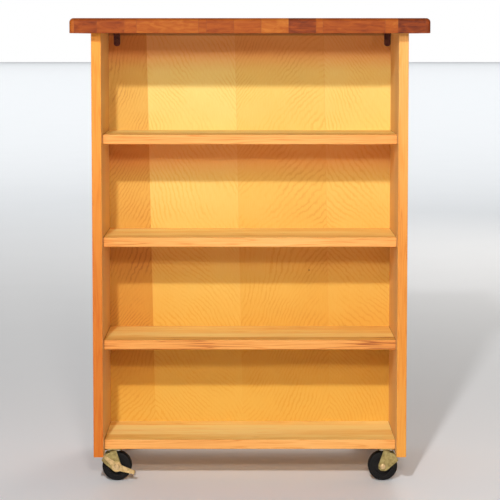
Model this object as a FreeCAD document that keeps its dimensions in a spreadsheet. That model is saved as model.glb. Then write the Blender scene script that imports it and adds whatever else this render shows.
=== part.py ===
"""Two-sided shelf cart with a butcher block top on four swivel casters.

Units are millimetres. +Z is up, Z = 0 is the floor, and the origin is under the middle of the cart.
The front faces -Y. The cart looks the same when it is turned half a turn about Z.
"""
import FreeCAD, Part
import Sketcher
import os

from FreeCAD import Placement, Rotation, Vector

SIZES = {
    # carcass
    "carcass_width": 610.0,
    "carcass_depth": 432.0,
    "side_thick": 19.0,
    "side_drop": 10.0,
    "board_thick": 19.0,
    "board_setback": 28.0,
    "board_round": 2.0,
    "side_round": 1.5,
    "shelf_low": 265.0,
    "shelf_mid": 467.0,
    "shelf_high": 667.5,
    "divider_thick": 12.0,
    "groove_depth": 5.0,
    "groove_clear": 0.5,
    # top
    "top_thick": 28.6,
    "top_height": 911.0,
    "top_overhang": 38.0,
    "strip_count": 13.0,
    "top_corner_round": 6.0,
    "top_edge_round": 8.0,
    "top_under_round": 1.0,
    # dowels
    "dowel_rad": 4.0,
    "dowel_long": 32.0,
    "dowel_in_side": 12.0,
    "dowel_inset": 24.0,
    "dowel_end_clear": 1.0,
    "pilot_clear": 1.0,
    # angle brackets and their screws
    "bracket_wide": 13.0,
    "bracket_leg": 26.0,
    "bracket_thick": 2.0,
    "bracket_end_flat": 0.65,
    "bracket_near_gap": 10.5,
    "bracket_far_gap": 0.5,
    "bracket_screw_rad": 1.75,
    "bracket_screw_long": 9.0,
    "bracket_head_rad": 3.4,
    "bracket_head_tall": 1.8,
    "bracket_screw_out": 13.0,
    # caster plate, bearing and kingpin
    "plate_side_gap": 1.0,
    "plate_front_gap": 3.0,
    "plate_wide": 32.0,
    "plate_long": 58.0,
    "plate_thick": 2.0,
    "plate_round": 5.0,
    "plate_hole_x": 10.0,
    "plate_hole_y": 23.0,
    "race_clear": 0.3,
    "race_ball_gap": 1.1,
    "race_wall": 2.3,
    "race_end_gap": 1.3,
    "ball_rad": 1.6,
    "ball_pitch": 10.5,
    "kingpin_rad": 4.0,
    "kingpin_head_rad": 6.5,
    "kingpin_head_tall": 1.2,
    "kingpin_clear": 0.05,
    "head_gap": 0.1,
    "screw_rad": 2.0,
    "screw_long": 15.0,
    "screw_head_rad": 3.8,
    "screw_head_tall": 2.0,
    # yoke
    "trail": 6.0,
    "crown_lip": 1.5,
    "crown_side_gap": 0.5,
    "crown_gap": 2.0,
    "crown_thick": 2.0,
    "leg_thick": 2.5,
    "leg_top_back": 4.5,
    "leg_top_front": 7.0,
    "leg_neck_drop": 2.5,
    "leg_shoulder_out": 17.0,
    "leg_shoulder_drop": 6.5,
    "leg_knee_out": 25.0,
    "leg_knee_drop": 19.0,
    "leg_foot_rad": 8.5,
    "leg_foot_front": 6.8,
    "leg_foot_back": 4.25,
    "leg_foot_low": 4.25,
    "leg_foot_high": 3.4,
    "leg_round": 4.0,
    # wheel and axle
    "wheel_rad": 29.0,
    "wheel_wide": 22.0,
    "wheel_gap": 1.5,
    "tyre_inner_rad": 21.0,
    "tyre_shoulder": 4.0,
    "rim_step": 2.0,
    "rim_wall": 3.5,
    "web_wide": 6.0,
    "hub_rad": 8.5,
    "hub_end_gap": 0.4,
    "axle_rad": 3.0,
    "axle_clear": 0.05,
    "axle_head_rad": 5.6,
    "axle_head_tall": 2.4,
    "axle_head_round": 1.8,
    # brake lever
    "lever_thick": 1.6,
    "lever_rim_wide": 1.2,
    "lever_rim_tall": 1.0,
    "lever_boss_rad": 10.0,
    "lever_gap": 0.3,
    "lever_outer_half": 2.2,
    "lever_outer_flat": 0.8,
    "lever_inner_half": 3.6,
    "lever_mid_half": 7.0,
    "lever_inner_arm": 37.0,
    "lever_inner_drop": 18.0,
    "lever_outer_arm": 36.0,
    "lever_outer_rise": 40.0,
    "lever_tab_out": 9.0,
}

BALL_COUNT = 14
HALF_TURN = 180.0
FULL_TURN = 360.0
CLOSE = 1e-3
STRAIGHT = 1e-6

doc = FreeCAD.newDocument("ShelfCart")
sheet = doc.addObject("Spreadsheet::Sheet", "Sizes")
for row, (alias, size) in enumerate(SIZES.items(), start=1):
    sheet.set(f"A{row}", alias)
    sheet.set(f"B{row}", str(size))
    sheet.setAlias(f"B{row}", alias)
doc.recompute()

pieces = []


# ---------------------------------------------------------------- expressions

def words(expression):
    """Put the sheet's name before each alias in an expression."""
    out = ""
    token = ""
    for char in expression + " ":
        if char.isalnum() or char in "_.":
            token += char
            continue
        out += f"Sizes.{token}" if token in SIZES else token
        out += char
        token = ""
    return out.strip()


def number(expression):
    """The value of an expression on the sheet's aliases."""
    return float(sheet.evalExpression(words(expression)))


def bind(thing, **links):
    """Bind properties to expressions; a double underscore stands for a dot."""
    for name, expression in links.items():
        thing.setExpression(name.replace("__", "."), words(expression))


def place(thing, x="0", y="0", z="0", turn=0.0):
    """Put a piece at a place given by expressions, turned about Z by a number of degrees."""
    spot = Vector(number(x), number(y), number(z))
    thing.Placement = Placement(spot, Rotation(Vector(0, 0, 1), turn))
    bind(thing, Placement__Base__x=x, Placement__Base__y=y, Placement__Base__z=z)


def keep(thing, label):
    """Name a finished sub-part and add it to those that are written out."""
    thing.Label = label
    pieces.append(thing)
    return thing


# Lengths that several pieces share, as expressions on the sheet.
INNER_HALF = "(carcass_width / 2 - side_thick)"
HALF_DEPTH = "(carcass_depth / 2)"
TOP_UNDER = "(top_height - top_thick)"
SHELF_DEPTH = "(carcass_depth / 2 - board_setback - divider_thick / 2)"
SHELF_MIDDLE = f"(divider_thick / 2 + {SHELF_DEPTH} / 2)"
CROWN_UNDER = "(2 * wheel_rad + crown_gap)"
CROWN_TOP = f"({CROWN_UNDER} + crown_thick)"
RACE_GAP = "(2 * ball_rad + race_clear)"
RACE_INNER = "(ball_pitch + ball_rad + race_ball_gap)"
PLATE_UNDER = f"({CROWN_TOP} + {RACE_GAP})"
BOARD_UNDER = f"({PLATE_UNDER} + plate_thick)"
BOARD_TOP = f"({BOARD_UNDER} + board_thick)"
GROOVE_FLOOR = f"({BOARD_TOP} - groove_depth)"
SIDE_BOTTOM = f"({BOARD_UNDER} - side_drop)"
LEG_INNER = "(wheel_wide / 2 + wheel_gap)"
LEG_OUTER = f"({LEG_INNER} + leg_thick)"
CROWN_RAD = f"({LEG_OUTER} + crown_lip)"
CASTER_INSET = f"max(plate_wide / 2 + plate_side_gap; {CROWN_RAD} + crown_side_gap)"
CASTER_X = f"({INNER_HALF} - {CASTER_INSET})"
CASTER_Y = f"({HALF_DEPTH} - board_setback - plate_front_gap - plate_long / 2)"
RIM_HALF = "(wheel_wide / 2 - rim_step)"
RIM_INNER = "(tyre_inner_rad - rim_wall)"
SHELF_LEVELS = {"upper": "shelf_high", "middle": "shelf_mid", "lower": "shelf_low"}


# ------------------------------------------------------------ building blocks

def box(name, long, wide, tall, x, y, z):
    """A plain block centred on x and y, standing on z."""
    block = doc.addObject("Part::Box", name)
    bind(block, Length=long, Width=wide, Height=tall)
    place(block, f"{x} - ({long}) / 2", f"{y} - ({wide}) / 2", z)
    return block


def rod(name, radius, length, x, y, z, axis=Vector(0, 0, 1)):
    """A round bar that starts at a point and runs along an axis."""
    bar = doc.addObject("Part::Cylinder", name)
    bind(bar, Radius=radius, Height=length)
    spot = Vector(number(x), number(y), number(z))
    bar.Placement = Placement(spot, Rotation(Vector(0, 0, 1), axis))
    bind(bar, Placement__Base__x=x, Placement__Base__y=y, Placement__Base__z=z)
    return bar


def group(name, members):
    """Separate solids held together as one node."""
    bundle = doc.addObject("Part::Compound", name)
    bundle.Links = members
    return bundle


def fuse(name, members):
    joined = doc.addObject("Part::MultiFuse", name)
    joined.Shapes = members
    return joined


def cut(name, base, tool):
    result = doc.addObject("Part::Cut", name)
    result.Base = base
    result.Tool = tool
    return result


def new_body(name):
    return doc.addObject("PartDesign::Body", name)


def sketch_on(body, role, name):
    """A sketch flat on one of the body's own origin planes."""
    plane = next(f for f in body.Origin.OriginFeatures if f.Role == role)
    sketch = body.newObject("Sketcher::SketchObject", name)
    sketch.AttachmentSupport = [(plane, "")]
    sketch.MapMode = "FlatFace"
    return sketch


def pin_point(sketch, index, point, x, y):
    """Hold one point of a sketch at a place given by expressions."""
    for kind, expression in (("DistanceX", x), ("DistanceY", y)):
        place_at = number(expression)
        rule = sketch.addConstraint(Sketcher.Constraint(kind, -1, 1, index, point, place_at))
        sketch.setExpression(f"Constraints[{rule}]", words(expression))


def outline(sketch, corners):
    """A closed outline of straight lines through corners given by expressions."""
    spots = [Vector(number(x), number(y), 0) for x, y in corners]
    first = sketch.GeometryCount
    count = len(spots)
    for i in range(count):
        sketch.addGeometry(Part.LineSegment(spots[i], spots[(i + 1) % count]), False)
    for i in range(count):
        after = first + (i + 1) % count
        sketch.addConstraint(Sketcher.Constraint("Coincident", first + i, 2, after, 1))
    for i, (x, y) in enumerate(corners):
        pin_point(sketch, first + i, 1, x, y)


def rectangle(sketch, x, y, wide, tall):
    """A rectangle centred on a point."""
    left, right = f"{x} - ({wide}) / 2", f"{x} + ({wide}) / 2"
    low, high = f"{y} - ({tall}) / 2", f"{y} + ({tall}) / 2"
    outline(sketch, [(left, low), (right, low), (right, high), (left, high)])


def circle(sketch, x, y, radius):
    centre = Vector(number(x), number(y), 0)
    ring = sketch.addGeometry(Part.Circle(centre, Vector(0, 0, 1), number(radius)), False)
    pin_point(sketch, ring, 3, x, y)
    rule = sketch.addConstraint(Sketcher.Constraint("Radius", ring, number(radius)))
    sketch.setExpression(f"Constraints[{rule}]", words(radius))


def pad(body, sketch, length, name, both_ways=False, backwards=False):
    feature = body.newObject("PartDesign::Pad", name)
    feature.Profile = sketch
    feature.Length = number(length)
    bind(feature, Length=length)
    feature.Midplane = both_ways
    feature.Reversed = backwards
    return feature


def pocket(body, sketch, length, name, both_ways=False, backwards=False):
    """A cut that must take material away."""
    doc.recompute()
    before = body.Shape.Volume
    feature = body.newObject("PartDesign::Pocket", name)
    feature.Profile = sketch
    feature.Length = number(length)
    bind(feature, Length=length)
    feature.Midplane = both_ways
    feature.Reversed = backwards
    doc.recompute()
    if body.Shape.Volume >= before:
        raise ValueError(f"{name} in {body.Name} cuts nothing")
    return feature


def spin(body, sketch, name):
    """A full turn about the body's own Y axis."""
    feature = body.newObject("PartDesign::Revolution", name)
    feature.Profile = sketch
    feature.ReferenceAxis = (sketch, ["V_Axis"])
    feature.Angle = FULL_TURN
    return feature


def round_edges(body, radius, name, chosen):
    """Round the edges of the body's shape that a test picks out."""
    doc.recompute()
    base = body.Tip
    names = [f"Edge{i}" for i, edge in enumerate(base.Shape.Edges, 1) if chosen(edge)]
    if not names:
        raise ValueError(f"{name} in {body.Name} found no edge")
    feature = body.newObject("PartDesign::Fillet", name)
    feature.Base = (base, names)
    feature.Radius = number(radius)
    bind(feature, Radius=radius)
    return feature


def runs_along(edge, axis):
    """True for a straight edge along one of the body's axes."""
    if len(edge.Vertexes) != 2 or not isinstance(edge.Curve, Part.Line):
        return False
    direction = edge.Vertexes[1].Point - edge.Vertexes[0].Point
    return abs(abs(direction.normalize().dot(axis)) - 1.0) < STRAIGHT


def middle_of(edge):
    return edge.CenterOfMass


def near(a, b):
    return abs(a - b) < CLOSE


X_AXIS = Vector(1, 0, 0)
Y_AXIS = Vector(0, 1, 0)
Z_AXIS = Vector(0, 0, 1)


# -------------------------------------------------------------------- the top

def top_blank():
    """The whole slab that the strips are cut from, with its rounded edges."""
    body = new_body("TopBlank")
    plan = sketch_on(body, "XY_Plane", "TopPlan")
    rectangle(plan, "0", "0", "carcass_width + 2 * top_overhang", "carcass_depth + 2 * top_overhang")
    pad(body, plan, "top_thick", "TopSlab")
    round_edges(body, "top_corner_round", "TopCorners", lambda edge: runs_along(edge, Z_AXIS))
    thick = number("top_thick")
    round_edges(body, "top_edge_round", "TopUpperEdge", lambda edge: near(middle_of(edge).z, thick))
    round_edges(body, "top_under_round", "TopUnderEdge", lambda edge: near(middle_of(edge).z, 0.0))
    place(body, z=TOP_UNDER)
    return body


def top_strips(screw_holes):
    """Long strips side by side; the ones over the brackets take their screws."""
    slab = cut("TopDrilled", top_blank(), screw_holes)
    wide = "((carcass_depth + 2 * top_overhang) / strip_count)"
    count = int(number("strip_count"))
    for i in range(count):
        middle = f"({i} + 0.5) * {wide} - {HALF_DEPTH} - top_overhang"
        slot = box(f"StripSlot{i + 1}", "carcass_width + 2 * top_overhang", wide, "top_thick",
                   "0", middle, TOP_UNDER)
        strip = doc.addObject("Part::Common", f"Strip{i + 1}")
        strip.Base = slab
        strip.Tool = slot
        keep(strip, f"top_strip_{i + 1:02d}")


# ---------------------------------------------------------------- the carcass

def dowels(name, extra):
    """Every dowel between the boards and the side panels, lengthened at both ends by extra."""
    rows = []
    for level in (*SHELF_LEVELS.values(), BOARD_UNDER):
        middle = f"({level} + board_thick / 2)"
        for face in (-1, 1):
            for edge in (-1, 1):
                reach = f"{face} * ({SHELF_MIDDLE} + {edge} * ({SHELF_DEPTH} / 2 - dowel_inset))"
                rows.append((reach, middle))
    bars = []
    for i, (y, z) in enumerate(rows):
        for side in (-1, 1):
            start = f"{side} * ({INNER_HALF} + dowel_in_side + {extra})"
            bars.append(rod(f"{name}{i}{'L' if side < 0 else 'R'}", "dowel_rad",
                            f"dowel_long + 2 * {extra}", start, y, z, X_AXIS * -side))
    return group(name, bars)


def side_panel(label, side, holes):
    """An upright with a groove for the divider; the left one is the right one turned round."""
    body = new_body(f"Side{label}")
    face = sketch_on(body, "YZ_Plane", "SideFace")
    tall = f"({TOP_UNDER} - {SIDE_BOTTOM})"
    rectangle(face, "0", f"{SIDE_BOTTOM} + {tall} / 2", "carcass_depth", tall)
    pad(body, face, "side_thick", "SideBoard")
    half = number(HALF_DEPTH)
    bottom = number(SIDE_BOTTOM)
    round_edges(body, "side_round", "SideArris", lambda edge: (
        (runs_along(edge, Z_AXIS) and near(abs(middle_of(edge).y), half))
        or (runs_along(edge, Y_AXIS) and near(middle_of(edge).z, bottom))))
    groove = sketch_on(body, "YZ_Plane", "GrooveFace")
    groove_tall = f"({TOP_UNDER} - {GROOVE_FLOOR})"
    rectangle(groove, "0", f"{GROOVE_FLOOR} + {groove_tall} / 2", "divider_thick", groove_tall)
    pocket(body, groove, "groove_depth", "DividerGroove", backwards=True)
    place(body, x=f"{side} * {INNER_HALF}", turn=0.0 if side > 0 else HALF_TURN)
    keep(cut(f"SidePanel{label}", body, holes), f"side_panel_{label}")


def board(name, depth, middle, underside, rounded, holes, label, grooved=False):
    """A shelf or the bottom board, with its open edges rounded; the bottom board takes the divider."""
    body = new_body(name)
    section = sketch_on(body, "YZ_Plane", "Section")
    rectangle(section, "0", "board_thick / 2", depth, "board_thick")
    pad(body, section, f"2 * {INNER_HALF}", "Plank", both_ways=True)
    half = number(depth) / 2
    round_edges(body, "board_round", "OpenEdges", lambda edge: (
        runs_along(edge, X_AXIS) and any(near(middle_of(edge).y, way * half) for way in rounded)))
    if grooved:
        groove = sketch_on(body, "YZ_Plane", "GrooveSection")
        rectangle(groove, "0", "board_thick - groove_depth / 2", "divider_thick", "groove_depth")
        pocket(body, groove, f"2 * {INNER_HALF}", "DividerGroove", both_ways=True)
    place(body, y=middle, z=underside)
    keep(cut(f"{name}Drilled", body, holes), label)


def divider(holes):
    """The plywood panel between the two sides of the cart, let into the uprights and bottom board."""
    wide = f"2 * ({INNER_HALF} + groove_depth - groove_clear)"
    sheet_blank = box("DividerBlank", wide, "divider_thick", f"{TOP_UNDER} - {GROOVE_FLOOR}",
                      "0", "0", GROOVE_FLOOR)
    keep(cut("Divider", sheet_blank, holes), "divider_panel")


# ------------------------------------------------------------- angle brackets

BRACKETS = {
    "front_left": (f"-({INNER_HALF} - bracket_wide / 2 - bracket_near_gap)", -1),
    "front_right": (f"({INNER_HALF} - bracket_wide / 2 - bracket_far_gap)", -1),
    "rear_right": (f"({INNER_HALF} - bracket_wide / 2 - bracket_near_gap)", 1),
    "rear_left": (f"-({INNER_HALF} - bracket_wide / 2 - bracket_far_gap)", 1),
}


def bracket(label, x, face):
    """A pressed steel angle: one leg on the divider, one under the top, both with round ends."""
    body = new_body(f"Bracket_{label}")
    section = sketch_on(body, "YZ_Plane", "AngleSection")
    outline(section, [("0", "0"), ("-bracket_leg", "0"), ("-bracket_leg", "-bracket_thick"),
                      ("-bracket_thick", "-bracket_thick"), ("-bracket_thick", "-bracket_leg"),
                      ("0", "-bracket_leg")])
    pad(body, section, "bracket_wide", "Angle", both_ways=True)
    leg = number("bracket_leg")
    round_edges(body, "bracket_wide / 2 - bracket_end_flat", "RoundEnds", lambda edge: (
        (runs_along(edge, Y_AXIS) and near(middle_of(edge).z, -leg))
        or (runs_along(edge, Z_AXIS) and near(middle_of(edge).y, -leg))))
    upright = sketch_on(body, "XZ_Plane", "UprightHole")
    circle(upright, "0", "-bracket_screw_out - bracket_thick", "bracket_screw_rad")
    pocket(body, upright, "bracket_thick", "UprightDrill", backwards=True)
    flat = sketch_on(body, "XY_Plane", "FlatHole")
    circle(flat, "0", "-bracket_screw_out - bracket_thick", "bracket_screw_rad")
    pocket(body, flat, "bracket_thick", "FlatDrill")
    place(body, x=x, y=f"{face} * divider_thick / 2", z=TOP_UNDER,
          turn=0.0 if face < 0 else HALF_TURN)
    keep(body, f"bracket_{label}")


def bracket_screws(name, shank_extra, with_heads):
    """One screw into the divider and one up into the top for each bracket."""
    screws = []
    for label, (x, face) in BRACKETS.items():
        out = f"{face} * (divider_thick / 2 + bracket_thick + bracket_screw_out)"
        skin = f"{face} * (divider_thick / 2 + bracket_thick)"
        low = f"({TOP_UNDER} - bracket_thick - bracket_screw_out)"
        under = f"({TOP_UNDER} - bracket_thick)"
        long = f"bracket_screw_long + {shank_extra}"
        inward = Y_AXIS * -face
        across = [rod(f"{name}In_{label}", "bracket_screw_rad", long, x, skin, low, inward)]
        upward = [rod(f"{name}Up_{label}", "bracket_screw_rad", long, x, out, under)]
        if with_heads:
            across.append(rod(f"{name}InHead_{label}", "bracket_head_rad", "bracket_head_tall",
                              x, skin, low, Y_AXIS * face))
            upward.append(rod(f"{name}UpHead_{label}", "bracket_head_rad", "bracket_head_tall",
                              x, out, under, -Z_AXIS))
            screws += [fuse(f"{name}Across_{label}", across), fuse(f"{name}Upward_{label}", upward)]
        else:
            screws += across + upward
    return group(name, screws)


# -------------------------------------------------------------------- casters

CASTERS = {
    "front_left": (-1, -1, True),
    "front_right": (1, -1, False),
    "rear_right": (1, 1, True),
    "rear_left": (-1, 1, False),
}
PLATE_CORNERS = ((-1, -1), (1, -1), (1, 1), (-1, 1))


def caster_screws(name, extra, with_heads):
    screws = []
    for label, (side, face, _) in CASTERS.items():
        for i, (a, b) in enumerate(PLATE_CORNERS):
            x = f"{side} * {CASTER_X} + {a} * plate_hole_x"
            y = f"{face} * {CASTER_Y} + {b} * plate_hole_y"
            shank = rod(f"{name}Shank_{label}{i}", "screw_rad", f"screw_long + {extra}", x, y, PLATE_UNDER)
            if with_heads:
                head = rod(f"{name}Head_{label}{i}", "screw_head_rad", "screw_head_tall",
                           x, y, PLATE_UNDER, -Z_AXIS)
                screws.append(fuse(f"{name}_{label}{i}", [shank, head]))
            else:
                screws.append(shank)
    return group(name, screws)


def stand(thing, caster, x="0", z="0"):
    """Put a caster piece under its corner, turned so that the wheel trails inwards."""
    side, face, _ = CASTERS[caster]
    spot_x = f"{side} * {CASTER_X} + {side} * ({x})"
    place(thing, spot_x, f"{face} * {CASTER_Y}", z, 0.0 if side > 0 else HALF_TURN)


def plate(caster):
    """The top plate, with the upper race pressed down out of it."""
    body = new_body(f"Plate_{caster}")
    plan = sketch_on(body, "XY_Plane", "PlatePlan")
    rectangle(plan, "0", "0", "plate_wide", "plate_long")
    pad(body, plan, "plate_thick", "PlateSheet")
    round_edges(body, "plate_round", "PlateCorners", lambda edge: runs_along(edge, Z_AXIS))
    race = sketch_on(body, "XY_Plane", "RacePlan")
    circle(race, "0", "0", f"{RACE_INNER} + race_wall")
    circle(race, "0", "0", RACE_INNER)
    pad(body, race, f"{RACE_GAP} - race_end_gap", "UpperRace", backwards=True)
    holes = sketch_on(body, "XY_Plane", "PlateHoles")
    circle(holes, "0", "0", "kingpin_rad")
    for a, b in PLATE_CORNERS:
        circle(holes, f"{a} * plate_hole_x", f"{b} * plate_hole_y", "screw_rad")
    pocket(body, holes, "plate_thick", "PlateDrill", backwards=True)
    stand(body, caster, z=PLATE_UNDER)
    keep(body, f"caster_{caster}_plate")


def balls(caster):
    """A ring of steel balls that rolls on the crown of the yoke."""
    ring = []
    side, face, _ = CASTERS[caster]
    for i in range(BALL_COUNT):
        angle = FULL_TURN * i / BALL_COUNT
        ball = doc.addObject("Part::Sphere", f"Ball_{caster}{i}")
        bind(ball, Radius="ball_rad")
        place(ball, f"{side} * {CASTER_X} + ball_pitch * cos({angle})",
              f"{face} * {CASTER_Y} + ball_pitch * sin({angle})", f"{CROWN_TOP} + ball_rad")
        ring.append(ball)
    keep(group(f"Balls_{caster}", ring), f"caster_{caster}_balls")


def kingpin(caster):
    """The rivet that holds the yoke to the plate."""
    side, face, _ = CASTERS[caster]
    x, y = f"{side} * {CASTER_X}", f"{face} * {CASTER_Y}"
    head_top = f"({CROWN_UNDER} - head_gap)"
    shank = rod(f"KingpinShank_{caster}", "kingpin_rad", f"{BOARD_UNDER} - {head_top}", x, y, head_top)
    head = rod(f"KingpinHead_{caster}", "kingpin_head_rad", "kingpin_head_tall", x, y,
               f"{head_top} - kingpin_head_tall")
    keep(fuse(f"Kingpin_{caster}", [shank, head]), f"caster_{caster}_kingpin")


def yoke(caster):
    """A round crown with two flat legs that widen to a knee and narrow to the axle."""
    body = new_body(f"Yoke_{caster}")
    legs = sketch_on(body, "XZ_Plane", "LegOutline")
    knee = f"({CROWN_UNDER} - leg_knee_drop)"
    outline(legs, [
        ("-leg_top_back", CROWN_TOP),
        ("leg_top_front", CROWN_TOP),
        ("leg_top_front", f"{CROWN_UNDER} - leg_neck_drop"),
        ("leg_shoulder_out", f"{CROWN_UNDER} - leg_shoulder_drop"),
        ("leg_knee_out", knee),
        ("-trail + leg_foot_front", "wheel_rad - leg_foot_rad"),
        ("-trail - leg_foot_back", "wheel_rad - leg_foot_rad"),
        ("-trail - leg_foot_rad", "wheel_rad - leg_foot_low"),
        ("-trail - leg_foot_rad", "wheel_rad + leg_foot_high"),
    ])
    pad(body, legs, f"2 * {LEG_OUTER}", "LegBlock", both_ways=True)
    round_edges(body, "leg_round", "LegRounds", lambda edge: (
        runs_along(edge, Y_AXIS) and middle_of(edge).z < number(knee) + CLOSE))
    gap = sketch_on(body, "YZ_Plane", "WheelGap")
    rectangle(gap, "0", f"({CROWN_UNDER}) / 2", f"2 * {LEG_INNER}", CROWN_UNDER)
    pocket(body, gap, "2 * (leg_knee_out + trail + leg_foot_rad)", "LegsApart", both_ways=True)
    crown = sketch_on(body, "XY_Plane", "CrownPlan")
    crown.AttachmentOffset = Placement(Vector(0, 0, number(CROWN_UNDER)), Rotation())
    bind(crown, AttachmentOffset__Base__z=CROWN_UNDER)
    circle(crown, "0", "0", CROWN_RAD)
    pad(body, crown, "crown_thick", "Crown")
    pivot = sketch_on(body, "XY_Plane", "PivotHole")
    pivot.AttachmentOffset = Placement(Vector(0, 0, number(CROWN_UNDER)), Rotation())
    bind(pivot, AttachmentOffset__Base__z=CROWN_UNDER)
    circle(pivot, "0", "0", "kingpin_rad + kingpin_clear")
    pocket(body, pivot, "crown_thick", "PivotDrill", backwards=True)
    holes = sketch_on(body, "XZ_Plane", "AxleHoles")
    circle(holes, "-trail", "wheel_rad", "axle_rad")
    pocket(body, holes, f"2 * {LEG_OUTER}", "AxleDrill", both_ways=True)
    stand(body, caster)
    keep(body, f"caster_{caster}_yoke")


def wheel_profile(body, name, corners):
    """Spin a profile of (radius, place along the axle) corners."""
    profile = sketch_on(body, "XY_Plane", f"{name}Profile")
    outline(profile, corners)
    spin(body, profile, name)


def wheel(caster):
    """A moulded wheel centre and the hard rubber tyre round it."""
    core = new_body(f"Core_{caster}")
    bore = "(axle_rad + axle_clear)"
    hub = f"({LEG_INNER} - hub_end_gap)"
    wheel_profile(core, "Core", [
        (bore, f"-{hub}"), ("hub_rad", f"-{hub}"), ("hub_rad", "-web_wide / 2"),
        (RIM_INNER, "-web_wide / 2"), (RIM_INNER, f"-{RIM_HALF}"),
        ("tyre_inner_rad", f"-{RIM_HALF}"), ("tyre_inner_rad", RIM_HALF),
        (RIM_INNER, RIM_HALF), (RIM_INNER, "web_wide / 2"),
        ("hub_rad", "web_wide / 2"), ("hub_rad", hub), (bore, hub),
    ])
    stand(core, caster, x="-trail", z="wheel_rad")
    keep(core, f"caster_{caster}_wheel_centre")

    tyre = new_body(f"Tyre_{caster}")
    wheel_profile(tyre, "Tyre", [
        ("tyre_inner_rad", "-wheel_wide / 2"), ("wheel_rad", "-wheel_wide / 2"),
        ("wheel_rad", "wheel_wide / 2"), ("tyre_inner_rad", "wheel_wide / 2"),
    ])
    radius = number("wheel_rad")
    round_edges(tyre, "tyre_shoulder", "Shoulders", lambda edge: (
        isinstance(edge.Curve, Part.Circle) and near(edge.Curve.Radius, radius)))
    stand(tyre, caster, x="-trail", z="wheel_rad")
    keep(tyre, f"caster_{caster}_tyre")


def axle(caster):
    """A rivet through both legs; on a braked caster it also holds the lever."""
    braked = CASTERS[caster][2]
    body = new_body(f"Axle_{caster}")
    far_end = f"({LEG_OUTER} + lever_gap + lever_thick)" if braked else LEG_OUTER
    wheel_profile(body, "Axle", [
        ("0", f"-{LEG_OUTER} - axle_head_tall"), ("axle_head_rad", f"-{LEG_OUTER} - axle_head_tall"),
        ("axle_head_rad", f"-{LEG_OUTER}"), ("axle_rad", f"-{LEG_OUTER}"),
        ("axle_rad", far_end), ("axle_head_rad", far_end),
        ("axle_head_rad", f"{far_end} + axle_head_tall"), ("0", f"{far_end} + axle_head_tall"),
    ])
    radius = number("axle_head_rad")
    low, high = -number(f"{LEG_OUTER} + axle_head_tall"), number(f"{far_end} + axle_head_tall")
    round_edges(body, "axle_head_round", "HeadDomes", lambda edge: (
        isinstance(edge.Curve, Part.Circle) and near(edge.Curve.Radius, radius)
        and (near(middle_of(edge).y, low) or near(middle_of(edge).y, high))))
    stand(body, caster, x="-trail", z="wheel_rad")
    keep(body, f"caster_{caster}_axle")


def arm_point(along, aside, angle):
    """A point at a length along an arm and a width aside from it, for an arm at an angle."""
    x = f"({along}) * cos({angle}) - ({aside}) * sin({angle})"
    y = f"({along}) * sin({angle}) + ({aside}) * cos({angle})"
    return x, y


def lever_outline(sketch, inset):
    """The lever's two arms, which meet at the axle; the outer rises and the inner drops."""
    outer, inner = "lever_outer_rise", "180 + lever_inner_drop"
    outer_half, inner_half = f"lever_outer_half - {inset}", f"lever_inner_half - {inset}"
    mid = f"lever_mid_half - {inset}"
    outer_tip, inner_tip = f"lever_outer_arm - {inset}", f"lever_inner_arm - {inset}"
    outline(sketch, [
        arm_point(outer_tip, f"-({outer_half})", outer), arm_point(outer_tip, outer_half, outer),
        arm_point("0", mid, outer),
        arm_point(inner_tip, f"-({inner_half})", inner), arm_point(inner_tip, inner_half, inner),
        arm_point("0", mid, inner),
    ])


def lever(caster):
    """The pressed brake lever: two rimmed arms, a round boss on the axle and a turned-out tab."""
    body = new_body(f"Lever_{caster}")
    full = "lever_thick + lever_rim_tall"
    strip = sketch_on(body, "XZ_Plane", "LeverOutline")
    lever_outline(strip, "0")
    pad(body, strip, full, "LeverStrip", backwards=True)
    short = number("lever_outer_arm")
    round_edges(body, "lever_outer_half - lever_outer_flat", "OuterEnd", lambda edge: (
        runs_along(edge, Y_AXIS) and middle_of(edge).x > 0
        and Vector(middle_of(edge).x, 0, middle_of(edge).z).Length > short))
    boss = sketch_on(body, "XZ_Plane", "BossPlan")
    circle(boss, "0", "0", "lever_boss_rad")
    pad(body, boss, full, "Boss", backwards=True)
    for name, draw in (
        ("ArmDish", lambda dish: lever_outline(dish, "lever_rim_wide")),
        ("BossDish", lambda dish: circle(dish, "0", "0", "lever_boss_rad - lever_rim_wide")),
    ):
        dish = sketch_on(body, "XZ_Plane", f"{name}Plan")
        dish.AttachmentOffset = Placement(Vector(0, 0, -number("lever_thick")), Rotation())
        bind(dish, AttachmentOffset__Base__z="-lever_thick")
        draw(dish)
        pocket(body, dish, "lever_rim_tall", name)
    tab = sketch_on(body, "XZ_Plane", "TabPlan")
    outline(tab, [
        arm_point("lever_inner_arm - lever_thick", "-lever_inner_half", "180 + lever_inner_drop"),
        arm_point("lever_inner_arm", "-lever_inner_half", "180 + lever_inner_drop"),
        arm_point("lever_inner_arm", "lever_inner_half", "180 + lever_inner_drop"),
        arm_point("lever_inner_arm - lever_thick", "lever_inner_half", "180 + lever_inner_drop"),
    ])
    pad(body, tab, "lever_tab_out", "Tab", backwards=True)
    hole = sketch_on(body, "XZ_Plane", "LeverHole")
    circle(hole, "0", "0", "axle_rad + axle_clear")
    pocket(body, hole, f"2 * ({full})", "LeverDrill", both_ways=True)
    side, face, _ = CASTERS[caster]
    spot_x = f"{side} * ({CASTER_X} - trail)"
    spot_y = f"{face} * ({CASTER_Y} + {LEG_OUTER} + lever_gap)"
    place(body, spot_x, spot_y, "wheel_rad", 0.0 if side > 0 else HALF_TURN)
    keep(body, f"caster_{caster}_brake_lever")


# ------------------------------------------------------------------- assembly

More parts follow.
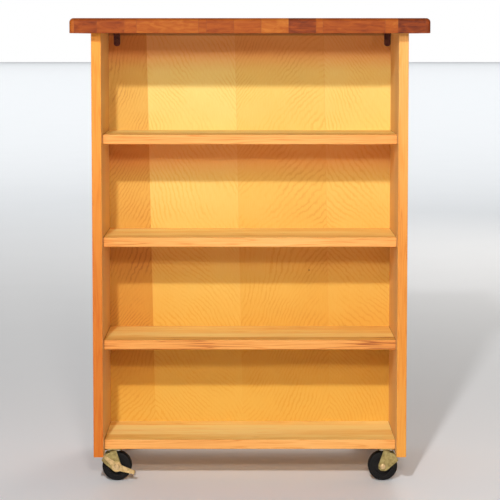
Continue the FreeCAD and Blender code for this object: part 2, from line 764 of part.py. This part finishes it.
bracket_holes = bracket_screws("BracketHoles", "pilot_clear", False)
top_strips(bracket_holes)
dowel_holes = dowels("DowelHoles", "dowel_end_clear")
for label, side in (("left", -1), ("right", 1)):
    side_panel(label, side, dowel_holes)
for level, underside in SHELF_LEVELS.items():
    board(f"FrontShelf_{level}", SHELF_DEPTH, f"-{SHELF_MIDDLE}", underside, (-1,), dowel_holes,
          f"shelf_front_{level}")
    board(f"RearShelf_{level}", SHELF_DEPTH, SHELF_MIDDLE, underside, (1,), dowel_holes,
          f"shelf_rear_{level}")
bottom_holes = group("BottomHoles", [dowel_holes, caster_screws("CasterHoles", "pilot_clear", False)])
board("BottomBoard", "carcass_depth - 2 * board_setback", "0", BOARD_UNDER, (-1, 1), bottom_holes,
      "bottom_board", grooved=True)
divider(bracket_holes)
keep(dowels("Dowels", "0"), "dowels")
for label, (x, face) in BRACKETS.items():
    bracket(label, x, face)
keep(bracket_screws("BracketScrews", "0", True), "bracket_screws")
keep(caster_screws("CasterScrews", "0", True), "caster_screws")
for caster, (_, _, braked) in CASTERS.items():
    plate(caster)
    balls(caster)
    kingpin(caster)
    yoke(caster)
    wheel(caster)
    axle(caster)
    if braked:
        lever(caster)

doc.recompute()
for thing in doc.Objects:
    if "Invalid" in thing.State or "Error" in thing.State:
        raise ValueError(f"{thing.Name} did not build: {thing.State}")
for piece in pieces:
    if piece.Shape.isNull() or not piece.Shape.isValid():
        raise ValueError(f"{piece.Label} has no valid shape")

os.makedirs("parts", exist_ok=True)
for piece in pieces:
    piece.Shape.exportStep(f"parts/{piece.Label}.step")
    print(f"{piece.Label}: {len(piece.Shape.Solids)} solids, {piece.Shape.Volume:.0f} mm3")
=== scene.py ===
"""Butcher block shelf cart: materials, stage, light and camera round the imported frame."""
import math

import bpy
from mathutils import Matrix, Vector


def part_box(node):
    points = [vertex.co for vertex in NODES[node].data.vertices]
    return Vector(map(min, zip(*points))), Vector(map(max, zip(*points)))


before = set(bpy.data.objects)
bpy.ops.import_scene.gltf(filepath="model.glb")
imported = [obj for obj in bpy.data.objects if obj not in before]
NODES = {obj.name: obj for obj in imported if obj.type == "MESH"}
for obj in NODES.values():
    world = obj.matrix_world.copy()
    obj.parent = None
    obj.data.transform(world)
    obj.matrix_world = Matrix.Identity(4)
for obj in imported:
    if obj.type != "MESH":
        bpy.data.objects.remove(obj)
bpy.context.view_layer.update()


# ------------------------------------------------------------- shader writing

class Value:
    """A socket that can be added, multiplied and compared as a number."""

    def __init__(self, finish, socket):
        self.finish = finish
        self.socket = socket

    def _maths(self, operation, first, second=0.0, third=0.0):
        node = self.finish.node("ShaderNodeMath", {"operation": operation}, {0: first, 1: second, 2: third})
        return Value(self.finish, node.outputs[0])

    def __add__(self, other):
        return self._maths("ADD", self, other)

    def __radd__(self, other):
        return self._maths("ADD", other, self)

    def __sub__(self, other):
        return self._maths("SUBTRACT", self, other)

    def __rsub__(self, other):
        return self._maths("SUBTRACT", other, self)

    def __mul__(self, other):
        return self._maths("MULTIPLY", self, other)

    def __rmul__(self, other):
        return self._maths("MULTIPLY", other, self)

    def __truediv__(self, other):
        return self._maths("DIVIDE", self, other)

    def __gt__(self, other):
        return self._maths("GREATER_THAN", self, other)

    def __lt__(self, other):
        return self._maths("LESS_THAN", self, other)

    def floor(self):
        return self._maths("FLOOR", self)

    def fract(self):
        return self._maths("FRACT", self)

    def size(self):
        return self._maths("ABSOLUTE", self)

    def most(self, other):
        return self._maths("MAXIMUM", self, other)

    def ramp(self, low, high):
        """0 below low, 1 above high, smooth between."""
        node = self.finish.node("ShaderNodeMapRange", {"interpolation_type": "SMOOTHSTEP"},
                                {"Value": self, "From Min": low, "From Max": high})
        return Value(self.finish, node.outputs[0])


class Finish:
    """One material and the nodes in it."""

    def __init__(self, name, metallic=0.0, specular=0.5):
        self.material = bpy.data.materials.new(name)
        self.material.use_nodes = True
        self.tree = self.material.node_tree
        self.shader = self.tree.nodes["Principled BSDF"]
        self.shader.inputs["Metallic"].default_value = metallic
        self.shader.inputs["Specular IOR Level"].default_value = specular
        self.place = self.node("ShaderNodeTexCoord").outputs["Object"]

    def node(self, kind, settings=None, inputs=None):
        """Any node, with its settings first and then the values or links of its sockets."""
        made = self.tree.nodes.new(kind)
        for key, setting in (settings or {}).items():
            setattr(made, key, setting)
        for key, given in (inputs or {}).items():
            self.feed(made.inputs[key], given)
        return made

    def feed(self, socket, given):
        """Link a socket or a Value, or set a plain number or colour."""
        if isinstance(given, Value):
            given = given.socket
        if isinstance(given, bpy.types.NodeSocket):
            self.tree.links.new(given, socket)
        else:
            socket.default_value = given

    def axes(self, at=None):
        """The X, Y and Z of a place as numbers."""
        split = self.node("ShaderNodeSeparateXYZ", None, {0: at or self.place})
        return [Value(self, split.outputs[i]) for i in range(3)]

    def join(self, x, y, z):
        return self.node("ShaderNodeCombineXYZ", None, {0: x, 1: y, 2: z}).outputs[0]

    def noise(self, at, scale, detail=3.0, rough=0.5, bend=0.0):
        node = self.node("ShaderNodeTexNoise", {"noise_dimensions": "3D"}, {
            "Vector": at, "Scale": scale, "Detail": detail, "Roughness": rough, "Distortion": bend})
        return Value(self, node.outputs["Fac"])

    def dice(self, at):
        """A fixed random number from 0 to 1 for each place."""
        node = self.node("ShaderNodeTexWhiteNoise", {"noise_dimensions": "3D"}, {"Vector": at})
        return Value(self, node.outputs["Value"])

    def cells(self, at, scale):
        """Distance to the nearest scattered point, and that point's random number."""
        node = self.node("ShaderNodeTexVoronoi", {"feature": "F1"}, {"Vector": at, "Scale": scale})
        split = self.node("ShaderNodeSeparateColor", None, {0: node.outputs["Color"]})
        return Value(self, node.outputs["Distance"]), Value(self, split.outputs[0])

    def blend(self, amount, first, second, how="MIX"):
        """Mix two colours by an amount."""
        node = self.node("ShaderNodeMix", {"data_type": "RGBA", "blend_type": how}, {0: amount})
        for index, given in ((6, first), (7, second)):
            if isinstance(given, tuple) and len(given) == 3:
                given = (*given, 1.0)
            self.feed(node.inputs[index], given)
        return node.outputs[2]

    def ramp_colours(self, amount, stops):
        """A colour from a list of (place, colour) stops."""
        node = self.node("ShaderNodeValToRGB", None, {0: amount})
        ramp = node.color_ramp
        while len(ramp.elements) < len(stops):
            ramp.elements.new(0.5)
        for element, (at, colour) in zip(ramp.elements, stops):
            element.position = at
            element.color = (*colour, 1.0)
        return node.outputs["Color"]

    def tint(self, colour, by):
        """Multiply a colour by another."""
        return self.blend(1.0, colour, by, "MULTIPLY")

    def facing(self):
        """The X, Y and Z of the way the surface faces."""
        return self.axes(self.node("ShaderNodeNewGeometry").outputs["Normal"])

    def bump(self, height, strength, distance):
        inputs = {"Height": height, "Strength": strength, "Distance": distance}
        return self.node("ShaderNodeBump", None, inputs).outputs["Normal"]

    def finish(self, colour, roughness, normal=None):
        """Join the colour, roughness and relief to the shader."""
        self.feed(self.shader.inputs["Base Color"], colour)
        self.feed(self.shader.inputs["Roughness"], roughness)
        if normal is not None:
            self.feed(self.shader.inputs["Normal"], normal)
        return self.material


def names(prefix, suffix=""):
    """The CAD nodes whose names start and end like this, in order."""
    return sorted(n for n in NODES if n.startswith(prefix) and n.endswith(suffix))


def dress(material, *nodes):
    """Give a material to CAD nodes."""
    for name in nodes:
        slots = NODES[name].data.materials
        slots.clear()
        slots.append(material)


# --------------------------------------------------------------------- timber

HONEY_LIGHT = (0.92, 0.60, 0.21)
HONEY = (0.85, 0.455, 0.115)
HONEY_DEEP = (0.70, 0.29, 0.05)
HEARTWOOD = (0.36, 0.105, 0.018)
FLECK = (0.17, 0.05, 0.014)
PAINTED_LIGHT_PALE = (1.0, 0.76, 0.36)
PAINTED_SHEEN_TINT = (1.16, 1.62, 1.80)
PAINTED_SHADE_TINT = (0.97, 0.54, 0.54)
TIMBER_TONES = [(0.0, HONEY_LIGHT), (0.42, HONEY), (0.82, HONEY_DEEP), (1.0, HEARTWOOD)]
BLOCK_TONES = [(0.0, (0.46, 0.145, 0.016)), (0.35, (0.35, 0.078, 0.006)),
               (0.68, (0.23, 0.039, 0.003)), (1.0, (0.08, 0.012, 0.003))]
VENEER_TONES = [(0.0, (0.90, 0.58, 0.18)), (0.42, (0.82, 0.43, 0.085)),
                (0.80, (0.68, 0.29, 0.045)), (1.0, (0.48, 0.17, 0.03))]

# Widths in metres.
SIDE_STAVE = 0.062
SHELF_STAVE = 0.046
DOWEL_STAVE = 0.03
LONG_BLOCK = 0.118
SHORT_BLOCK = 0.052
LEAF = 0.1797
LEAF_SHIFT = 0.192
LEAF_LEAN = 0.02
END_SHADOW_WIDE = 0.0016
SHADE_DEEP_BELOW, SHADE_NEAR_BELOW = 0.085, 0.03
TOP_SHADOW_DEEP, TOP_SHADOW_NEAR = 0.006, 0.002

# How strongly painted shade darkens and reddens the veneer below each of these boards.
PAINTED_SHADE_BOARDS = (("top_strip_01", 0.9), ("shelf_front_upper", 0.75), ("shelf_front_middle", 0.3))


def stave_grain(finish, along, across, stave_wide, seed, shift):
    """Coordinates whose grain runs along Z, started afresh in each glued stave, and the stave's own lot."""
    axes = dict(zip("xyz", finish.axes()))
    rest = next(name for name in "xyz" if name not in (along, across))
    steps = (axes[across] + shift) / stave_wide
    index = steps.floor()
    lot = finish.dice(finish.join(index, seed, 3.7))
    start = finish.dice(finish.join(index, seed, 9.1))
    edge = (steps.fract() - 0.5).size()
    return axes[across] + lot * 7.0, axes[rest] + start * 5.0, axes[along] + start * 11.0, lot, edge


def timber(name, along, across, stave_wide, seed, tone_and_painted_light_top=(1.0, 1.0, 1.0), tone_and_painted_shade_foot=None, shift=0.0,
           ends_at=None, painted_light_inner_side=0.0):
    """Satin-lacquered boards of glued staves.

    crown and foot tint them above and below; on the side panels this is painted light fall-off, lighter
    towards the top and darker towards the floor, over the boards' own tone. ends_at is the X where a shelf
    meets the side panels;
    there the shelf's ends get a painted shadow line, and its upper face gets a painted sheen. inward is the
    sign of X on a side panel's inner face, which is lightened as painted light.
    """
    finish = Finish(name, specular=0.3)
    wide, deep, run, lot, edge = stave_grain(finish, along, across, stave_wide, seed, shift)
    drift = finish.noise(finish.join(wide, deep, run * 0.09), 9.0, 2.0) - 0.5
    rings = finish.noise(finish.join(wide + drift * 0.03, deep, run * 0.045), 62.0, 2.0, 0.45)
    lines = ((rings * 9.0).fract() - 0.5).size() * 2.0
    late = lines.ramp(0.5, 1.0)
    pores = finish.noise(finish.join(wide, deep, run * 0.022), 900.0, 2.0, 0.6)
    broad = finish.noise(finish.join(wide, deep, run * 0.2), 11.0, 2.0)
    tone = (broad - 0.5) * 1.2 + (lot - 0.5) * 0.55 + late * 0.24 + (pores - 0.5) * 0.6 + 0.36
    colour = finish.ramp_colours(tone, TIMBER_TONES)
    # On the side panels this is painted light fall-off: lighter towards the top, darker towards the floor.
    tint = tone_and_painted_light_top if tone_and_painted_shade_foot is None else finish.blend(finish.axes()[2].ramp(0.25, 1.0), tone_and_painted_shade_foot, tone_and_painted_light_top)
    colour = finish.tint(colour, tint)
    spots, pick = finish.cells(finish.join(wide, deep, run * 0.55), 17.0)
    knot = (1.0 - spots.ramp(0.012, 0.075)) * (pick > 0.84)
    colour = finish.blend(knot * 0.7, colour, FLECK)
    flecks, pick = finish.cells(finish.join(wide, deep, run * 0.16), 95.0)
    fleck = (1.0 - flecks.ramp(0.03, 0.16)) * (pick > 0.95)
    colour = finish.blend(fleck * 0.5, colour, FLECK)
    joint = edge.ramp(0.489, 0.5)
    colour = finish.blend(joint * 0.4, colour, HEARTWOOD)
    if painted_light_inner_side:
        # Painted light: the side panel's inner face is lightened.
        inner = (finish.facing()[0] * painted_light_inner_side).ramp(0.8, 0.97)
        colour = finish.blend(inner * 0.55, colour, PAINTED_LIGHT_PALE)
    if ends_at:
        # Painted sheen: the upper face is lightened, standing in for the glancing reflection off the
        # lacquer.
        upper = finish.facing()[2].ramp(0.8, 0.97)
        colour = finish.blend(upper, colour, finish.tint(colour, PAINTED_SHEEN_TINT))
        # Painted shadow: a dark line at each end, where the shelf meets the side panels.
        painted_end_shadow = finish.axes()[0].size().ramp(ends_at - END_SHADOW_WIDE, ends_at)
        colour = finish.blend(painted_end_shadow * 0.85, colour, FLECK)
    rough = 0.50 + pores * 0.14 + late * 0.05
    return finish.finish(colour, rough, finish.bump(pores * 0.5 - late * 0.25 - joint * 0.8, 0.35, 0.0004))


def block_top(name, seed):
    """Oiled butcher block: strips along X made of short blocks set end to end."""
    finish = Finish(name, specular=0.2)
    x, y, z = finish.axes()
    strips = names("top_strip_")
    low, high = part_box(strips[0])[0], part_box(strips[-1])[1]
    strip_wide = (high[1] - low[1]) / len(strips)
    strip = ((y - low[1] + 0.0001) / strip_wide).floor()
    shift = finish.dice(finish.join(strip, seed, 1.3))
    long_steps = x / LONG_BLOCK + shift * 9.0
    short_steps = x / SHORT_BLOCK + shift * 4.0
    # A long cell is either one block or is cut again where the short cells change.
    whole = finish.dice(finish.join(long_steps.floor(), strip, seed)) > 0.4
    block = long_steps.floor() * 7.0 + whole * short_steps.floor()
    lot = finish.dice(finish.join(block, strip, seed + 2.0))
    tone = finish.dice(finish.join(block, strip, seed + 5.0))
    ends = (long_steps.fract() - 0.5).size().ramp(0.492, 0.5)
    ends = ends.most((short_steps.fract() - 0.5).size().ramp(0.485, 0.5) * whole)
    shifted = finish.join(x * 0.05 + lot * 6.0, y + tone * 4.0, z + lot * 3.0)
    rings = finish.noise(shifted, 75.0, 2.0, 0.5, 0.4)
    lines = ((rings * 8.0).fract() - 0.5).size() * 2.0
    flame = finish.noise(finish.join(x * 0.35 + lot * 9.0, y, z), 90.0, 3.0, 0.6, 1.0)
    fine = finish.noise(finish.join(x * 0.03 + lot, y, z), 1100.0, 2.0, 0.6)
    mix = tone * 0.60 + lines * 0.12 + (fine - 0.5) * 0.3 + (flame - 0.5) * 1.0 + 0.12
    colour = finish.ramp_colours(mix, BLOCK_TONES)
    colour = finish.blend(ends * 0.5, colour, FLECK)
    height = fine * 0.5 + lines * 0.2 - ends * 0.6
    return finish.finish(colour, 0.56 + fine * 0.14, finish.bump(height, 0.25, 0.0003))


def plywood(name, seed):
    """Birch-faced panel: bookmatched leaves with feathered figure and pin knots, with painted shade below
    the boards and a painted shadow line under the block top.
    """
    finish = Finish(name, specular=0.3)
    x, y, z = finish.axes()
    near_side = (y < 0.0) * 1.7
    steps = (x + z * LEAF_LEAN + LEAF_SHIFT) / LEAF
    leaf = steps.floor()
    inside = steps.fract() - 0.5
    flip = ((leaf * 0.5).fract() > 0.25) * 2.0 - 1.0
    mirrored = inside * flip * LEAF
    warp = finish.noise(finish.join(mirrored, near_side + leaf * 0.3, z), 3.6, 1.0)
    shiver = finish.noise(finish.join(mirrored, near_side, z * 0.7), 60.0, 3.0, 0.6)
    phase = (warp * 22.0 + mirrored * 105.0 - z * 66.0 + shiver * 1.7).fract()
    shown = finish.noise(finish.join(mirrored, near_side + 4.0, z), 16.0, 2.0).ramp(0.3, 0.65)
    rings = (phase - 0.5).size().ramp(0.2, 0.5) * shown
    fine = finish.noise(finish.join(mirrored, near_side, z * 0.06), 800.0, 2.0, 0.6)
    cloud = finish.noise(finish.join(x, near_side, z), 5.0, 2.0)
    tone = (leaf > 0.5) * 0.14 - (leaf > 1.5) * 0.08 + (leaf < 0.0) * 0.44
    mix = tone * z.ramp(0.05, 0.3) + rings * 0.20 + (fine - 0.5) * 0.25 + (cloud - 0.5) * 0.3 + 0.24
    colour = finish.ramp_colours(mix, VENEER_TONES)
    # Painted light fall-off: the veneer is tinted lighter and yellower towards the top and darker towards
    # the floor.
    colour = finish.tint(colour, finish.blend(z.ramp(0.2, 1.0), (0.79, 0.80, 0.47), (1.0, 1.42, 1.75)))
    # Painted shade: the veneer darkens and reddens just below each board.
    for board, amount in PAINTED_SHADE_BOARDS:
        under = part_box(board)[0][2]
        painted_shade_band = z.ramp(under - SHADE_DEEP_BELOW, under - SHADE_NEAR_BELOW) * (z < under)
        colour = finish.blend(painted_shade_band * amount, colour, finish.tint(colour, PAINTED_SHADE_TINT))
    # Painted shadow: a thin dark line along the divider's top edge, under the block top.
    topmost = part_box("divider_panel")[1][2]
    colour = finish.blend(z.ramp(topmost - TOP_SHADOW_DEEP, topmost - TOP_SHADOW_NEAR) * 0.6, colour, FLECK)
    spots, pick = finish.cells(finish.join(x, near_side, z), 15.0)
    pin = (1.0 - spots.ramp(0.010, 0.034)) * (pick > 0.72)
    colour = finish.blend(pin * 0.8, colour, FLECK)
    seam = inside.size().ramp(0.4965, 0.5) * z.ramp(0.15, 0.35)
    colour = finish.blend(seam * 0.4, colour, HONEY_DEEP)
    return finish.finish(colour, 0.52 + fine * 0.12, finish.bump(fine * 0.6 + rings * 0.2, 0.22, 0.0003))


# --------------------------------------------------------- metals and mouldings

def plated(name, base, dark, roughness=0.34, metallic=0.85):
    """Dull plated steel with cloudy passivation and small scuffs."""
    finish = Finish(name, metallic=metallic)
    cloud = finish.noise(finish.place, 130.0, 4.0, 0.6)
    grime = finish.noise(finish.place, 420.0, 3.0, 0.6)
    colour = finish.blend(cloud.ramp(0.35, 0.7), base, dark)
    colour = finish.blend(grime.ramp(0.62, 0.8) * 0.5, colour, (0.12, 0.075, 0.03))
    rough = roughness + cloud * 0.18
    return finish.finish(colour, rough, finish.bump(grime, 0.2, 0.0002))


def moulding(name, base, roughness, grain=2600.0):
    """Moulded plastic or rubber with a fine matt grain and floor dust."""
    finish = Finish(name, specular=0.2)
    skin = finish.noise(finish.place, grain, 2.0)
    scuff = finish.noise(finish.place, 160.0, 4.0, 0.65)
    colour = finish.blend(scuff.ramp(0.5, 0.8) * 0.5, base, (0.024, 0.021, 0.017))
    rough = roughness + scuff * 0.2 - 0.1
    return finish.finish(colour, rough, finish.bump(skin, 0.25, 0.0002))


# ---------------------------------------------------------------- assignments

dress(block_top("oiled_block", 4.0), *names("top_strip_"))
# The side panels' tints are painted light fall-off over the boards' tone: lighter towards the top, darker
# towards the floor.
dress(timber("side_left_boards", "z", "y", SIDE_STAVE, 2.0, (0.97, 0.71, 0.30), (0.66, 0.31, 0.065),
             painted_light_inner_side=1.0), "side_panel_left")
dress(timber("side_right_boards", "z", "y", SIDE_STAVE, 5.0, (0.96, 0.77, 0.60), (0.80, 0.54, 0.23),
             painted_light_inner_side=-1.0), "side_panel_right")
for order, board in enumerate(sorted(names("shelf_") + ["bottom_board"])):
    dress(timber(f"{board}_boards", "x", "y", SHELF_STAVE, 11.0 + order * 1.7, (0.95, 0.87, 0.90),
                 shift=0.011 * order, ends_at=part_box(board)[1][0]), board)
dress(plywood("birch_veneer", 7.0), "divider_panel")
dress(timber("dowel_birch", "x", "y", DOWEL_STAVE, 3.0), "dowels")
dark_steel = plated("dark_steel", (0.16, 0.045, 0.028), (0.06, 0.018, 0.014), 0.5, 0.3)
dress(dark_steel, *names("bracket_"))
yellow_zinc = plated("yellow_zinc", (0.44, 0.37, 0.15), (0.24, 0.19, 0.07))
dress(yellow_zinc, *names("caster_", "_yoke"), *names("caster_", "_plate"))
# The lever's zinc is a lighter copy of the yellow zinc, as painted light on the lever.
dress(plated("lever_zinc_painted_light", (0.70, 0.54, 0.27), (0.42, 0.31, 0.13)), *names("caster_", "_brake_lever"))
bright = plated("bright_steel", (0.74, 0.56, 0.30), (0.50, 0.38, 0.20), 0.28)
dress(bright, *names("caster_", "_axle"), *names("caster_", "_kingpin"))
steel = plated("polished_steel", (0.62, 0.62, 0.62), (0.45, 0.45, 0.45), 0.2, 1.0)
dress(steel, *names("caster_", "_balls"), "caster_screws")
dress(moulding("tyre_rubber", (0.003, 0.003, 0.003), 0.62), *names("caster_", "_tyre"))
dress(moulding("wheel_moulding", (0.005, 0.005, 0.005), 0.45), *names("caster_", "_wheel_centre"))


# ----------------------------------------------------------- stage and camera

MIDDLE = (0.0, -0.1, 0.5)
WHITE = (1.0, 1.0, 1.0)
# Each lamp's name, place, aim, size in metres, watts and colour.
LAMPS = (
    ("high_lamp", (-0.6, -4.3, 2.64), MIDDLE, (0.16, 0.16), 134.0, (1.0, 0.98, 0.98)),
    ("low_lamp", (0.15, -3.4, 1.40), MIDDLE, (0.2, 0.2), 37.0, (1.0, 0.88, 0.80)),
    ("warm_panel", (0.0, -6.0, 0.5), (0.0, 0.0, 0.5), (4.0, 0.8), 18.0, (1.0, 0.58, 0.46)),
    ("rear_lamp", (1.6, 4.2, 2.6), MIDDLE, (1.4, 1.4), 42.0, (1.0, 0.90, 0.80)),
    ("near_panel", (0.0, -8.5, 4.0), (0.0, -8.5, 0.0), (14.0, 7.0), 170.0, WHITE),
    ("floor_panel", (0.0, 32.0, 4.0), (0.0, 32.0, 0.0), (60.0, 56.0), 11000.0, WHITE),
)
EYE = (-0.0068, -3.889, 0.8776)
EYE_DIP, EYE_ROLL = 0.0806, -0.0019


def floor():
    """A wide pale floor just under the wheels."""
    bpy.ops.mesh.primitive_plane_add(size=120.0, location=(0.0, 0.0, -0.0005))
    ground = bpy.context.object
    ground.name = "studio_floor"
    finish = Finish("pale_floor", specular=0.2)
    soft = finish.noise(finish.place, 3.0, 2.0)
    colour = finish.blend(soft, (0.83, 0.86, 0.89), (0.85, 0.88, 0.91))
    ground.data.materials.append(finish.finish(colour, 0.6))


def area_light(name, spot, aim, size, power, colour):
    """A flat lamp at a spot, turned to its aim."""
    lamp = bpy.data.lights.new(name, "AREA")
    lamp.shape = "RECTANGLE"
    lamp.size, lamp.size_y = size
    lamp.energy = power
    lamp.color = colour
    holder = bpy.data.objects.new(name, lamp)
    holder.location = spot
    direction = Vector(aim) - Vector(spot)
    holder.rotation_euler = direction.to_track_quat("-Z", "Y").to_euler()
    bpy.context.scene.collection.objects.link(holder)


def backdrop():
    """A studio that looks white behind the cart and fills its shadows with a little pale light."""
    world = bpy.data.worlds.new("studio")
    world.use_nodes = True
    tree = world.node_tree
    fill = tree.nodes["Background"]
    fill.inputs["Color"].default_value = (1.0, 0.96, 0.92, 1.0)
    fill.inputs["Strength"].default_value = 0.06
    white = tree.nodes.new("ShaderNodeBackground")
    white.inputs["Color"].default_value = (1.0, 1.0, 1.0, 1.0)
    seen = tree.nodes.new("ShaderNodeLightPath")
    mix = tree.nodes.new("ShaderNodeMixShader")
    tree.links.new(seen.outputs["Is Camera Ray"], mix.inputs[0])
    tree.links.new(fill.outputs[0], mix.inputs[1])
    tree.links.new(white.outputs[0], mix.inputs[2])
    tree.links.new(mix.outputs[0], tree.nodes["World Output"].inputs["Surface"])
    bpy.context.scene.world = world


def light():
    """Two lamps and a warm panel in front, a softer lamp behind, and two panels over the floor."""
    backdrop()
    for lamp in LAMPS:
        area_light(*lamp)
    scene = bpy.context.scene
    scene.view_settings.view_transform = "Standard"
    scene.view_settings.look = "None"


def camera():
    """Nearly level, a little above the top shelf, with its view dropped to the middle of the cart."""
    lens = bpy.data.cameras.new("camera")
    lens.sensor_width = 36.0
    lens.lens = 137.5
    lens.shift_y = -0.12
    lens.clip_end = 200.0
    eye = bpy.data.objects.new("camera", lens)
    eye.location = EYE
    eye.rotation_euler = (math.radians(90.0) - EYE_DIP, 0.0, EYE_ROLL)
    bpy.context.scene.collection.objects.link(eye)
    bpy.context.scene.camera = eye


floor()
light()
camera()
